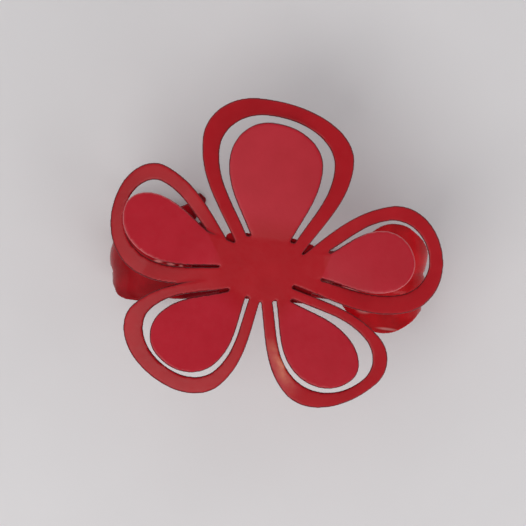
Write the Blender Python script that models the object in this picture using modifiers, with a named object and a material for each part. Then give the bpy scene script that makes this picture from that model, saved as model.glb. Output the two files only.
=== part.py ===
"""Flower hair clip: a stamped sheet-metal flower carried above a small sprung claw.

Two jaws face each other and turn on one pin.  A bracket on the same pin holds the flower above
them, and a torsion spring pushes the finger tabs apart, which keeps the teeth shut.

Frame: metres, +Z up, +X along the claw's long side, +Y along the hinge pin.  The clip stands on
its teeth at Z = 0, and the origin is under the middle of its bounding box.
"""
import math

import bmesh
import bpy
from mathutils import Matrix, Vector
from mathutils.geometry import interpolate_bezier

# ---- driving dimensions, in millimetres and degrees ---------------------------------------
MM = 0.001

PIN_X = -1.08           # where the hinge stands in the row frame
PIN_Y = -3.17
PIN_HEIGHT = 25.964     # the pin's axis above the surface that the teeth stand on
PIN_RADIUS = 0.8
PIN_HEAD_RADIUS = 1.5
PIN_HEAD_THICK = 0.6
PIN_HOLE_RADIUS = 1.1
RUNNING_GAP = 0.3

JAW_SHEET = 0.7
LUG_OUTER_Y = 4.9       # each jaw has one outer and one inner lug, so the two nest
LUG_INNER_Y = 3.9
LUG_RADIUS = 2.0
TAB_HALF_WIDTH = 4.3
TOOTH_SLOT_START = 47.6 # distance along a jaw's section where the slots between teeth begin

BRACKET_SHEET = 0.7
BRACKET_EAR_Y = 5.95
BRACKET_EAR_RADIUS = 2.4
BRACKET_HALF_LENGTH = 4.2
SADDLE_CORNERS = ((9.2, -6.4), (9.2, 5.2), (4.6, 6.28), (-4.6, 6.28), (-9.2, 5.8), (-9.2, -7.1))

WIRE_RADIUS = 0.35
COIL_RADIUS = 1.75
COIL_TURNS = 6
COIL_PITCH = 0.9
LEG_LENGTH = 8.5

FLOWER_LIFT = 12.0      # the flower's middle plane above the pin
FLOWER_TURN = 7.0       # the flower is fixed a little askew on the claw
FLOWER_SHIFT_X = -0.6
FLOWER_SHIFT_Y = -0.7
HUB_RADIUS = 6.4
HUB_SHEET = 0.8
RING_SHEET = 0.6
TONGUE_SHEET = 0.7
BEND_STEP = 2.2         # spacing of the cross cuts that let a flat blank bend

RED = (0.40, 0.016, 0.024, 1.0)
DEEP_RED = (0.32, 0.012, 0.018, 1.0)
STEEL = (0.55, 0.55, 0.57, 1.0)

# A jaw's section, from the finger tab's end to the tooth tips: (length, turn in degrees).
TAB_END = (15.5, 5.2)
TAB_HEADING = 198.7
JAW_PATH = (
    (11.5, 0.0),        # finger tab, running in towards the pin
    (4.3, 153.3),       # tight bend round the pin side
    (20.2, -10.0),      # neck and shoulder
    (13.8, -72.0),      # outer wall
    (11.2, -80.0),      # heel, where the clip stands
    (26.0, -20.0),      # teeth
)
NECK_END = 26.0         # distance along that path

# Each jaw's flat blank as (distance along the path, Y) corners with a corner radius: its two
# side edges below the neck, then its teeth, each from its low-Y side round to its high-Y side.
JAWS = {
    "right_jaw": {
        "side": 1.0,
        "lugs": (-LUG_OUTER_Y, LUG_INNER_Y),
        "low": (((28.4, -7.6), 2.0), ((33.0, -10.3), 2.0), ((36.6, -11.0), 2.0),
                ((41.0, -9.3), 2.5), ((46.3, -5.8), 2.0)),
        "high": (((42.8, 10.1), 2.0), ((38.2, 12.2), 2.0), ((34.0, 11.6), 1.5),
                 ((30.4, 8.6), 2.0)),
        "teeth": (
            (((49.0, -5.3), 1.0), ((70.0, -5.3), 2.0), ((87.0, -5.2), 0.8),
             ((87.0, -3.0), 0.8), ((70.0, -2.7), 2.0)),
            (((70.0, -1.7), 2.0), ((87.0, -1.1), 0.8), ((87.0, 1.1), 0.8),
             ((70.0, 1.7), 2.0)),
            (((70.0, 2.9), 2.0), ((87.0, 2.4), 0.8), ((87.0, 4.5), 0.8),
             ((70.0, 5.0), 2.0), ((57.0, 5.4), 2.0), ((49.0, 6.6), 1.0)),
        ),
        "slots": (-2.4, 2.4),
    },
    "left_jaw": {
        "side": -1.0,
        "lugs": (-LUG_INNER_Y, LUG_OUTER_Y),
        "low": (((30.0, -8.0), 2.0), ((34.5, -10.1), 2.0), ((41.3, -10.2), 2.0),
                ((45.6, -8.2), 2.0)),
        "high": (((41.5, 9.6), 2.0), ((36.5, 9.9), 2.0), ((31.0, 8.2), 2.0)),
        "teeth": (
            (((50.0, -6.8), 1.5), ((61.0, -9.0), 2.0), ((69.0, -9.2), 2.0), ((85.5, -4.3), 0.8),
             ((85.5, -2.1), 0.8), ((70.0, -5.2), 2.0)),
            (((70.0, -2.6), 2.0), ((77.0, 4.4), 0.7), ((76.0, 6.2), 0.7), ((71.4, 1.4), 2.0)),
            (((70.4, 2.9), 1.5), ((74.4, 7.9), 0.5), ((72.9, 9.2), 0.5), ((69.0, 5.8), 1.5)),
            (((69.4, 6.7), 1.5), ((71.9, 12.6), 0.5), ((70.2, 13.9), 0.5), ((67.2, 10.2), 1.5),
             ((60.0, 10.4), 2.0), ((50.0, 9.2), 1.0)),
        ),
        "slots": (-4.5, 2.2, 6.1),
    },
}
SLOT_WIDTH = 1.0

# A petal's outlines, in its own frame: x runs out from the hub, y to the left.  Each outline
# has a left foot, its widest point on the left, its tip, its widest on the right, a right foot.
PETALS = {
    "top": {
        "heading": 84.0,
        "outer": ((3.0, 5.3), (25.0, 15.1), (34.1, 4.5), (22.8, -15.5), (3.0, -6.4)),
        "inner": ((6.4, 4.4), (23.2, 11.6), (30.9, 2.6), (21.5, -11.8), (5.9, -5.4)),
        "tongue": ((6.4, 3.4), (21.2, 9.3), (29.3, 1.6), (21.0, -9.4), (5.9, -4.3)),
        "droop": 1.6, "rise": 2.2, "ring_roll": 0.0, "tongue_roll": 0.0,
    },
    "left": {
        "heading": 151.0,
        "outer": ((3.0, 3.6), (22.0, 12.9), (33.5, -0.6), (27.4, -8.6), (5.6, 0.7)),
        "inner": ((8.0, 3.9), (22.0, 9.4), (30.9, 0.4), (26.4, -5.6), (14.1, -1.4)),
        "tongue": ((7.6, 3.2), (22.0, 8.7), (30.6, 1.6), (24.0, -3.1), (13.6, -1.1)),
        "droop": 2.0, "rise": 2.0, "ring_roll": -0.10, "tongue_roll": 0.06,
    },
    "lower_left": {
        "heading": 221.0,
        "outer": ((3.0, 2.85), (21.8, 11.4), (31.4, -2.5), (24.5, -12.1), (4.0, -1.8)),
        "inner": ((5.8, 2.1), (20.6, 8.6), (28.1, -1.5), (22.3, -9.2), (8.0, -2.1)),
        "tongue": ((6.0, 1.2), (19.8, 7.5), (27.4, -1.2), (21.2, -7.3), (8.4, -1.6)),
        "droop": 1.8, "rise": 2.0, "ring_roll": 0.0, "tongue_roll": 0.0,
    },
    "lower_right": {
        "heading": 310.0,
        "outer": ((4.0, 0.6), (25.2, 8.8), (31.8, 2.2), (21.5, -12.8), (3.0, -3.8)),
        "inner": ((8.1, 0.6), (23.4, 6.5), (29.5, 1.0), (19.8, -9.6), (5.4, -2.75)),
        "tongue": ((8.2, -0.1), (21.0, 4.0), (27.9, -0.8), (19.3, -8.6), (5.8, -1.95)),
        "droop": 1.8, "rise": 2.0, "ring_roll": 0.0, "tongue_roll": 0.0,
    },
    "right": {
        "heading": 8.3,
        "outer": ((4.0, -0.3), (26.8, 8.9), (35.7, -2.0), (26.3, -12.6), (4.0, -3.15)),
        "inner": ((13.4, 2.0), (25.8, 6.2), (33.0, -2.0), (26.0, -8.9), (10.6, -3.7)),
        "tongue": ((13.6, 1.4), (23.2, 4.4), (29.8, -2.4), (23.5, -8.0), (10.8, -3.2)),
        "droop": 2.0, "rise": 1.8, "ring_roll": 0.08, "tongue_roll": -0.05,
    },
}
SIDE_HANDLE = 0.38      # handle lengths of the outlines, as parts of each span
ROUND_HANDLE = 0.56
OUTLINE_STEPS = 9       # points on each quarter of an outline
BEND_START = 8.5        # rings stay flat out to here
PETAL_REACH = 34.0


# ---- scene, materials and small helpers ----------------------------------------------------
def clear_scene():
    """Remove whatever the file holds."""
    for old in list(bpy.data.objects):
        bpy.data.objects.remove(old, do_unlink=True)


def new_collection(name):
    """A collection linked to the scene."""
    collection = bpy.data.collections.new(name)
    bpy.context.scene.collection.children.link(collection)
    return collection


def enamel(name, colour, roughness, metallic):
    """A Principled material."""
    material = bpy.data.materials.new(name)
    material.use_nodes = True
    shader = material.node_tree.nodes["Principled BSDF"]
    shader.inputs["Base Color"].default_value = colour
    shader.inputs["Roughness"].default_value = roughness
    shader.inputs["Metallic"].default_value = metallic
    return material


def place(obj, collection, material=None):
    """Link an object and give it its material."""
    collection.objects.link(obj)
    if material:
        obj.data.materials.clear()
        obj.data.materials.append(material)
    return obj


def flat_plate(name, outline, thickness, collection, hole=None):
    """A closed flat plate: a filled 2D curve, extruded, as a welded mesh centred on Z = 0."""
    curve = bpy.data.curves.new(name, "CURVE")
    curve.dimensions = "2D"
    curve.fill_mode = "BOTH"
    curve.extrude = 0.5 * thickness * MM
    for loop in filter(None, (outline, hole)):
        spline = curve.splines.new("POLY")
        spline.points.add(len(loop) - 1)
        for point, (x, y) in zip(spline.points, loop):
            point.co = (x * MM, y * MM, 0.0, 1.0)
        spline.use_cyclic_u = True
    source = bpy.data.objects.new(name + "_outline", curve)
    bpy.context.scene.collection.objects.link(source)
    bpy.context.view_layer.update()
    evaluated = source.evaluated_get(bpy.context.evaluated_depsgraph_get())
    mesh = bpy.data.meshes.new_from_object(evaluated)
    bpy.data.objects.remove(source, do_unlink=True)
    weld(mesh)
    return place(bpy.data.objects.new(name, mesh), collection)


def weld(mesh):
    """Join the loose caps of a converted curve and turn its faces outwards."""
    bm = bmesh.new()
    bm.from_mesh(mesh)
    bmesh.ops.remove_doubles(bm, verts=bm.verts, dist=0.00002)
    bmesh.ops.recalc_face_normals(bm, faces=bm.faces)
    bm.to_mesh(mesh)
    bm.free()


def cut_across(obj, start, stop, step, direction=(1.0, 0.0, 0.0)):
    """Cut a flat plate across every few millimetres, so that it can bend."""
    bm = bmesh.new()
    bm.from_mesh(obj.data)
    normal = Vector(direction)
    count = int((stop - start) / step)
    for index in range(1, count + 1):
        geometry = bm.verts[:] + bm.edges[:] + bm.faces[:]
        point = normal * (start + index * step) * MM
        bmesh.ops.bisect_plane(bm, geom=geometry, dist=1e-7, plane_co=point, plane_no=normal)
    bmesh.ops.triangulate(bm, faces=bm.faces)
    bm.to_mesh(obj.data)
    bm.free()


def move_points(obj, mapping):
    """Send every point of a mesh, in millimetres, through a function."""
    for vertex in obj.data.vertices:
        vertex.co = Vector(mapping(vertex.co / MM)) * MM
    obj.data.update()


def unite(target, others):
    """Boolean-join other solids into the target and remove them."""
    for other in others:
        modifier = target.modifiers.new("join_" + other.name, "BOOLEAN")
        modifier.operation = "UNION"
        modifier.solver = "EXACT"
        modifier.object = other
        bake(target)
        bpy.data.objects.remove(other, do_unlink=True)
    return target


def cut_away(target, cutter):
    """Boolean-cut a solid from the target."""
    modifier = target.modifiers.new("cut_" + cutter.name, "BOOLEAN")
    modifier.operation = "DIFFERENCE"
    modifier.solver = "EXACT"
    modifier.object = cutter
    bake(target)


def bake(obj):
    """Replace an object's mesh with its evaluated one."""
    bpy.context.view_layer.update()
    evaluated = obj.evaluated_get(bpy.context.evaluated_depsgraph_get())
    mesh = bpy.data.meshes.new_from_object(evaluated)
    obj.modifiers.clear()
    obj.data = mesh


def pin_cutter(collection):
    """A guide cylinder along the hinge, which bores every lug and ear."""
    bpy.ops.mesh.primitive_cylinder_add(vertices=24, radius=PIN_HOLE_RADIUS * MM, depth=30 * MM,
                                        rotation=(math.pi / 2, 0.0, 0.0))
    cutter = bpy.context.active_object
    cutter.name = "pin_bore_cutter"
    cutter.users_collection[0].objects.unlink(cutter)
    collection.objects.link(cutter)
    cutter.hide_render = True
    cutter.display_type = "WIRE"
    return cutter


# ---- jaws --------------------------------------------------------------------------------
def jaw_point(distance):
    """Position in the X-Z section and heading, in radians, at a distance along the jaw."""
    x, z = TAB_END
    heading = math.radians(TAB_HEADING)
    left = distance
    for index, (length, turn) in enumerate(JAW_PATH):
        last = index == len(JAW_PATH) - 1
        run = left if last else min(left, length)
        bend = math.radians(turn) * run / length
        chord = run if abs(bend) < 1e-9 else 2.0 * run / bend * math.sin(0.5 * bend)
        x += chord * math.cos(heading + 0.5 * bend)
        z += chord * math.sin(heading + 0.5 * bend)
        heading += bend
        left -= run
        if left <= 1e-9:
            break
    return x, z, heading


def round_corner(corner, before, after, radius, steps=5):
    """Points of a rounded corner of an outline."""
    corner = Vector(corner)
    to_before = (Vector(before) - corner).normalized()
    to_after = (Vector(after) - corner).normalized()
    start = corner + to_before * radius
    end = corner + to_after * radius
    curve = interpolate_bezier(start, corner + to_before * radius * 0.45,
                               corner + to_after * radius * 0.45, end, steps)
    return [(point.x, point.y) for point in curve]


def rounded(corners):
    """A closed outline from (point, corner radius) pairs."""
    outline = []
    count = len(corners)
    for index, (point, radius) in enumerate(corners):
        before = corners[index - 1][0]
        after = corners[(index + 1) % count][0]
        if radius > 0:
            outline.extend(round_corner(point, before, after, radius))
        else:
            outline.append(point)
    return outline


def tooth_corners(jaw):
    """Corners of the toothed edge: the teeth in turn, with a narrow slot between each two."""
    corners = []
    for index, tooth in enumerate(jaw["teeth"]):
        corners.extend(tooth)
        if index < len(jaw["slots"]):
            middle = jaw["slots"][index]
            corners.append(((TOOTH_SLOT_START, middle - 0.5 * SLOT_WIDTH), 0.45))
            corners.append(((TOOTH_SLOT_START, middle + 0.5 * SLOT_WIDTH), 0.45))
    return corners


def jaw_outline(jaw):
    """The flat blank of a jaw: distance along the path against Y."""
    waist_low = min(jaw["lugs"]) - 0.5 * JAW_SHEET
    waist_high = max(jaw["lugs"]) + 0.5 * JAW_SHEET
    corners = [
        ((0.0, TAB_HALF_WIDTH), 3.0),
        ((0.0, -TAB_HALF_WIDTH), 3.0),
        ((11.0, -TAB_HALF_WIDTH), 0.0),
        ((12.0, waist_low), 0.0),
        ((16.0, waist_low), 0.0),
        ((17.0, -TAB_HALF_WIDTH), 0.0),
        ((NECK_END, -TAB_HALF_WIDTH), 2.0),
    ]
    corners.extend(jaw["low"])
    corners.extend(tooth_corners(jaw))
    corners.extend(jaw["high"])
    corners.extend([
        ((NECK_END, TAB_HALF_WIDTH), 2.0),
        ((17.0, TAB_HALF_WIDTH), 0.0),
        ((16.0, waist_high), 0.0),
        ((12.0, waist_high), 0.0),
        ((11.0, TAB_HALF_WIDTH), 0.0),
    ])
    return rounded(corners)


def bend_jaw(point):
    """Roll a point of the flat blank onto the jaw's section."""
    x, z, heading = jaw_point(max(point.x, 0.0))
    side_x = -math.sin(heading)
    side_z = math.cos(heading)
    return (x + side_x * point.z, point.y, z + side_z * point.z)


def lug(name, y, collection):
    """One hinge lug: a small plate across the pin, reaching to the bend of the sheet."""
    arc = [math.radians(a) for a in range(110, 251, 14)]
    outline = [(LUG_RADIUS * math.cos(a), LUG_RADIUS * math.sin(a)) for a in arc]
    outline += [(3.4, -1.55), (4.6, -1.55), (4.6, 1.45), (3.4, 1.55)]
    plate = flat_plate(name, outline, JAW_SHEET, collection)
    move_points(plate, lambda p: (p.x, y - p.z, p.y))
    return plate


def make_jaw(name, material, collection, cutter):
    """One jaw about the pin at the origin, bent on the +X side and mirrored if it is the left."""
    jaw = JAWS[name]
    plate = flat_plate(name, jaw_outline(jaw), JAW_SHEET, collection)
    full = sum(length for length, _ in JAW_PATH)
    cut_across(plate, 0.0, full, BEND_STEP)
    cut_across(plate, 11.0, 16.5, 0.6)
    move_points(plate, bend_jaw)
    unite(plate, [lug("lug_%d" % index, y, collection) for index, y in enumerate(jaw["lugs"])])
    cut_away(plate, cutter)
    move_points(plate, lambda p: (jaw["side"] * p.x, p.y, p.z))
    weld(plate.data)
    plate.data.materials.clear()
    plate.data.materials.append(material)
    return plate


# ---- pin, spring and bracket ----------------------------------------------------------------
def make_pin(material, collection):
    """The hinge pin with a domed head at each end, turned about its own axis."""
    half = BRACKET_EAR_Y + 0.5 * BRACKET_SHEET + RUNNING_GAP
    top = half + PIN_HEAD_THICK
    profile = [(0.0, top), (0.8 * PIN_HEAD_RADIUS, top - 0.1), (PIN_HEAD_RADIUS, top - 0.3),
               (PIN_HEAD_RADIUS, half), (PIN_RADIUS, half), (PIN_RADIUS, -half),
               (PIN_HEAD_RADIUS, -half), (PIN_HEAD_RADIUS, 0.3 - top),
               (0.8 * PIN_HEAD_RADIUS, 0.1 - top), (0.0, -top)]
    mesh = bpy.data.meshes.new("hinge_pin")
    edges = [(i, i + 1) for i in range(len(profile) - 1)]
    mesh.from_pydata([(r * MM, 0.0, z * MM) for r, z in profile], edges, [])
    pin = place(bpy.data.objects.new("hinge_pin", mesh), collection, material)
    screw = pin.modifiers.new("turn", "SCREW")
    screw.steps = 24
    screw.render_steps = 24
    screw.use_merge_vertices = True
    screw.merge_threshold = 0.00001
    pin.rotation_euler = (math.pi / 2, 0.0, 0.0)
    return pin


def spring_points():
    """Centre line of the torsion spring: leg, coil and leg."""
    half = 0.5 * COIL_TURNS * COIL_PITCH
    rise = math.radians(TAB_HEADING - 180.0)
    out = Vector((math.cos(rise), 0.0, math.sin(rise)))
    steps = COIL_TURNS * 12
    coil = []
    for index in range(steps + 1):
        part = index / steps
        angle = math.radians(90.0 + 18.7) + part * math.radians(360.0 * COIL_TURNS - 37.4)
        coil.append(Vector((COIL_RADIUS * math.cos(angle), half * (2.0 * part - 1.0),
                            COIL_RADIUS * math.sin(angle))))
    mirror = Vector((-out.x, 0.0, out.z))
    lift = Vector((0.0, 0.0, 1.0))
    first = [coil[0] + mirror * d + lift * 0.05 * d for d in (LEG_LENGTH, 0.5 * LEG_LENGTH, 1.2)]
    last = [coil[-1] + out * d + lift * 0.05 * d for d in (1.2, 0.5 * LEG_LENGTH, LEG_LENGTH)]
    return first + coil + last


def make_spring(material, collection):
    """The torsion spring, a round wire along its centre line."""
    curve = bpy.data.curves.new("torsion_spring", "CURVE")
    curve.dimensions = "3D"
    curve.bevel_depth = WIRE_RADIUS * MM
    curve.bevel_resolution = 2
    curve.use_fill_caps = True
    points = spring_points()
    spline = curve.splines.new("POLY")
    spline.points.add(len(points) - 1)
    for point, co in zip(spline.points, points):
        point.co = (co.x * MM, co.y * MM, co.z * MM, 1.0)
    return place(bpy.data.objects.new("torsion_spring", curve), collection, material)


def make_bracket(material, collection, cutter):
    """The saddle that carries the flower: a top plate and two ears that hang on the pin."""
    top = FLOWER_LIFT - 0.5 * HUB_SHEET - RUNNING_GAP
    radius = BRACKET_EAR_RADIUS
    arc = [math.radians(a) for a in range(190, 351, 16)]
    ear_outline = [(radius * math.cos(a), radius * math.sin(a)) for a in arc]
    ear_outline += [(radius, 7.5), (BRACKET_HALF_LENGTH, top - 1.2), (BRACKET_HALF_LENGTH, top)]
    ear_outline += [(-BRACKET_HALF_LENGTH, top), (-BRACKET_HALF_LENGTH, top - 1.2), (-radius, 7.5)]
    ears = []
    for index, y in enumerate((-BRACKET_EAR_Y, BRACKET_EAR_Y)):
        ear = flat_plate("ear_%d" % index, ear_outline, BRACKET_SHEET, collection)
        move_points(ear, lambda p, y=y: (p.x, y - p.z, p.y))
        ears.append(ear)
    outline = rounded([(corner, 1.0) for corner in SADDLE_CORNERS])
    bracket = flat_plate("flower_bracket", outline, BRACKET_SHEET, collection)
    middle = top - 0.5 * BRACKET_SHEET
    move_points(bracket, lambda p: (p.x, p.y, p.z + middle + 0.02))
    unite(bracket, ears)
    cut_away(bracket, cutter)
    bracket.data.materials.clear()
    bracket.data.materials.append(material)
    return bracket


# ---- flower --------------------------------------------------------------------------------
def quarter(start, start_handle, end_handle, end):
    """Points of one stretch of an outline, without its last point."""
    points = interpolate_bezier(Vector((*start, 0.0)), Vector((*start_handle, 0.0)),
                                Vector((*end_handle, 0.0)), Vector((*end, 0.0)), OUTLINE_STEPS)
    return [(point.x, point.y) for point in points[:-1]]


def petal_edge(marks):
    """The outline through a left foot, left widest, tip, right widest and right foot."""
    foot_l, wide_l, tip, wide_r, foot_r = marks

    def side(foot, wide):
        reach = wide[0] - foot[0]
        slope = (wide[1] - foot[1]) / reach
        leave = (foot[0] + SIDE_HANDLE * reach, foot[1] + SIDE_HANDLE * reach * slope * 1.25)
        arrive = (wide[0] - SIDE_HANDLE * reach, wide[1])
        return leave, arrive

    def end(wide):
        leave = (wide[0] + ROUND_HANDLE * (tip[0] - wide[0]), wide[1])
        arrive = (tip[0], tip[1] + ROUND_HANDLE * (wide[1] - tip[1]))
        return leave, arrive

    left_leave, left_arrive = side(foot_l, wide_l)
    right_leave, right_arrive = side(foot_r, wide_r)
    end_left, tip_left = end(wide_l)
    end_right, tip_right = end(wide_r)
    points = quarter(foot_l, left_leave, left_arrive, wide_l)
    points += quarter(wide_l, end_left, tip_left, tip)
    points += quarter(tip, tip_right, end_right, wide_r)
    points += quarter(wide_r, right_arrive, right_leave, foot_r)
    return points + [foot_r]


def ring_height(petal, point):
    """How far the ring has sunk at a point of its own frame."""
    reach = max(point.x - BEND_START, 0.0) / (PETAL_REACH - BEND_START)
    return -petal["droop"] * reach ** 1.5 + petal["ring_roll"] * point.y * min(reach * 2.0, 1.0)


def tongue_height(petal, point):
    """How far the tongue stands up: it folds along a line at its foot."""
    fold = 0.5 * (petal["tongue"][0][0] + petal["tongue"][4][0])
    reach = max(point.x - fold, 0.0) / (petal["tongue"][2][0] - fold)
    return petal["rise"] * reach + petal["tongue_roll"] * point.y * min(reach * 2.0, 1.0)


def make_flower(material, collection):
    """The stamping: a hub, five open rings and a tongue inside each ring."""
    hub_outline = [(HUB_RADIUS * math.cos(math.radians(a)), HUB_RADIUS * math.sin(math.radians(a)))
                   for a in range(0, 360, 10)]
    flower = flat_plate("flower", hub_outline, HUB_SHEET, collection)
    pieces = []
    for name, petal in PETALS.items():
        turn = Matrix.Rotation(math.radians(petal["heading"]), 3, "Z")
        ring = flat_plate(name + "_ring", petal_edge(petal["outer"]), RING_SHEET, collection,
                          hole=petal_edge(petal["inner"]))
        cut_across(ring, BEND_START - BEND_STEP, 36.0, BEND_STEP)
        move_points(ring, lambda p, petal=petal, turn=turn:
                    turn @ Vector((p.x, p.y, p.z + ring_height(petal, p))))
        root = [(2.0, -2.5), (2.0, 2.5)]
        tongue = flat_plate(name + "_tongue", petal_edge(petal["tongue"]) + root,
                            TONGUE_SHEET, collection)
        fold = 0.5 * (petal["tongue"][0][0] + petal["tongue"][4][0])
        cut_across(tongue, fold - 3.0, 32.0, 3.0)
        move_points(tongue, lambda p, petal=petal, turn=turn:
                    turn @ Vector((p.x, p.y, p.z + tongue_height(petal, p))))
        pieces += [ring, tongue]
    unite(flower, pieces)
    flower.data.materials.clear()
    flower.data.materials.append(material)
    return flower


# ---- assembly ------------------------------------------------------------------------------
def main():
    """Build every piece about the pin and stand the clip on its teeth."""
    clear_scene()
    parts = new_collection("flower_hair_clip")
    guides = new_collection("cutters")
    satin_red = enamel("flower_enamel", RED, 0.42, 0.0)
    gloss_red = enamel("claw_enamel", DEEP_RED, 0.22, 0.0)
    steel = enamel("spring_steel", STEEL, 0.3, 1.0)
    cutter = pin_cutter(guides)

    hinge = bpy.data.objects.new("hinge_axis", None)
    parts.objects.link(hinge)
    hinge.location = (PIN_X * MM, PIN_Y * MM, PIN_HEIGHT * MM)

    right_jaw = make_jaw("right_jaw", gloss_red, parts, cutter)
    left_jaw = make_jaw("left_jaw", gloss_red, parts, cutter)
    pin = make_pin(steel, parts)
    spring = make_spring(steel, parts)
    bracket = make_bracket(gloss_red, parts, cutter)
    flower = make_flower(satin_red, parts)
    flower.location = (FLOWER_SHIFT_X * MM, FLOWER_SHIFT_Y * MM, FLOWER_LIFT * MM)
    flower.rotation_euler = (0.0, 0.0, math.radians(FLOWER_TURN))
    for piece in (right_jaw, left_jaw, pin, spring, bracket, flower):
        piece.parent = hinge
    bpy.context.view_layer.update()


main()
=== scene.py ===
"""Looks of the flower hair clip: enamelled sheet, a sprung claw, a pale table and soft light.

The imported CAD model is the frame.  The flower, both jaws and the spring are rebuilt here in finer
form on the CAD's own outlines, with rolled edges, flutes and a lacquered surface.  The bracket and
the pin stay the CAD's own and only get a finish.  Shapes are worked out in millimetres about the
hinge pin, and moved to the row frame, in metres, as each piece is finished.
"""
import math

import bmesh
import bpy
from mathutils import Matrix, Vector
from mathutils.geometry import interpolate_bezier

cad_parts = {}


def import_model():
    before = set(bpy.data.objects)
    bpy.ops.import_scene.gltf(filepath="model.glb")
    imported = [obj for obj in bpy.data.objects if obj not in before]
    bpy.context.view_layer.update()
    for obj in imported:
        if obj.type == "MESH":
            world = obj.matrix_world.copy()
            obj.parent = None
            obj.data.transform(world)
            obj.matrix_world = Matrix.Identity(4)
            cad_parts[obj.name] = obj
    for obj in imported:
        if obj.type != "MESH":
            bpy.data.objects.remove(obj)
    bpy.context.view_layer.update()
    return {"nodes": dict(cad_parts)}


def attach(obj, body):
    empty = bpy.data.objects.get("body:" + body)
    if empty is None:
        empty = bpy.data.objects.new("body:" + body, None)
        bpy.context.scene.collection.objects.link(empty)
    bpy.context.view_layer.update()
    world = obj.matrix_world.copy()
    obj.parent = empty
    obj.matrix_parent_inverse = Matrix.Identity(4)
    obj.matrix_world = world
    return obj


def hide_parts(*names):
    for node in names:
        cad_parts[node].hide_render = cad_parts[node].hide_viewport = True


MM = 0.001              # one millimetre in metres

# ---- the CAD's driving dimensions, in millimetres and degrees -------------------------------
PIN_X = -1.08           # where the hinge stands in the row frame
PIN_Y = -3.17
PIN_HEIGHT = 25.964     # the pin's axis above the surface that the teeth stand on
PIN_HOLE_RADIUS = 1.1
JAW_SHEET = 0.7
LUG_OUTER_Y = 4.9       # each jaw has one outer and one inner lug, so the two nest
LUG_INNER_Y = 3.9
LUG_RADIUS = 2.0
TAB_HALF_WIDTH = 4.3
LUG_ARC = (110, 251)    # the lug's round end, in degrees
LUG_ROOT = ((3.4, -1.55), (4.6, -1.55), (4.6, 1.45), (3.4, 1.55))   # where it joins the bend
LUG_STEP = (11.0, 12.0, 16.0, 17.0)     # where the blank steps out to its lugs, and back
TAB_CORNER = 3.0        # corner radii of the blank
NECK_CORNER = 2.0
TOOTH_SLOT_START = 47.6     # distance along a jaw's section where the slots between teeth begin

WIRE_RADIUS = 0.35
COIL_RADIUS = 1.75
COIL_TURNS = 6
COIL_PITCH = 0.9
LEG_START = 1.2         # a leg leaves the coil here
LEG_LENGTH = 8.5
LEG_LIFT = 0.05         # and climbs a little more steeply than the finger tab

FLOWER_LIFT = 12.0      # the flower's middle plane above the pin
FLOWER_TURN = 7.0       # the flower is fixed a little askew on the claw
FLOWER_SHIFT_X = -0.6
FLOWER_SHIFT_Y = -0.7
HUB_RADIUS = 6.4
# A jaw's section, from the finger tab's end to the tooth tips: (length, turn in degrees).
TAB_END = (15.5, 5.2)
TAB_HEADING = 198.7
TAB_RISE = TAB_HEADING - 180.0
JAW_PATH = (
    (11.5, 0.0),        # finger tab, running in towards the pin
    (4.3, 153.3),       # tight bend round the pin side
    (20.2, -10.0),      # neck and shoulder
    (13.8, -72.0),      # outer wall
    (11.2, -80.0),      # heel, where the clip stands
    (26.0, -20.0),      # teeth
)
NECK_END = 26.0         # distance along that path

# Each jaw's flat blank as (distance along the path, Y) corners with a corner radius: its two
# side edges below the neck, then its teeth, each from its low-Y side round to its high-Y side.
JAWS = {
    "right_jaw": {
        "side": 1.0,
        "lugs": (-LUG_OUTER_Y, LUG_INNER_Y),
        "low": (((28.4, -7.6), 2.0), ((33.0, -10.3), 2.0), ((36.6, -11.0), 2.0),
                ((41.0, -9.3), 2.5), ((46.3, -5.8), 2.0)),
        "high": (((42.8, 10.1), 2.0), ((38.2, 12.2), 2.0), ((34.0, 11.6), 1.5),
                 ((30.4, 8.6), 2.0)),
        "teeth": (
            (((49.0, -5.3), 1.0), ((70.0, -5.3), 2.0), ((87.0, -5.2), 0.8),
             ((87.0, -3.0), 0.8), ((70.0, -2.7), 2.0)),
            (((70.0, -1.7), 2.0), ((87.0, -1.1), 0.8), ((87.0, 1.1), 0.8),
             ((70.0, 1.7), 2.0)),
            (((70.0, 2.9), 2.0), ((87.0, 2.4), 0.8), ((87.0, 4.5), 0.8),
             ((70.0, 5.0), 2.0), ((57.0, 5.4), 2.0), ((49.0, 6.6), 1.0)),
        ),
        "slots": (-2.4, 2.4),
    },
    "left_jaw": {
        "side": -1.0,
        "lugs": (-LUG_INNER_Y, LUG_OUTER_Y),
        "low": (((30.0, -8.0), 2.0), ((34.5, -10.1), 2.0), ((41.3, -10.2), 2.0),
                ((45.6, -8.2), 2.0)),
        "high": (((41.5, 9.6), 2.0), ((36.5, 9.9), 2.0), ((31.0, 8.2), 2.0)),
        "teeth": (
            (((50.0, -6.8), 1.5), ((61.0, -9.0), 2.0), ((69.0, -9.2), 2.0), ((85.5, -4.3), 0.8),
             ((85.5, -2.1), 0.8), ((70.0, -5.2), 2.0)),
            (((70.0, -2.6), 2.0), ((77.0, 4.4), 0.7), ((76.0, 6.2), 0.7), ((71.4, 1.4), 2.0)),
            (((70.4, 2.9), 1.5), ((74.4, 7.9), 0.5), ((72.9, 9.2), 0.5), ((69.0, 5.8), 1.5)),
            (((69.4, 6.7), 1.5), ((71.9, 12.6), 0.5), ((70.2, 13.9), 0.5), ((67.2, 10.2), 1.5),
             ((60.0, 10.4), 2.0), ((50.0, 9.2), 1.0)),
        ),
        "slots": (-4.5, 2.2, 6.1),
    },
}
SLOT_WIDTH = 1.0
SLOT_CORNER = 0.45

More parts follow.
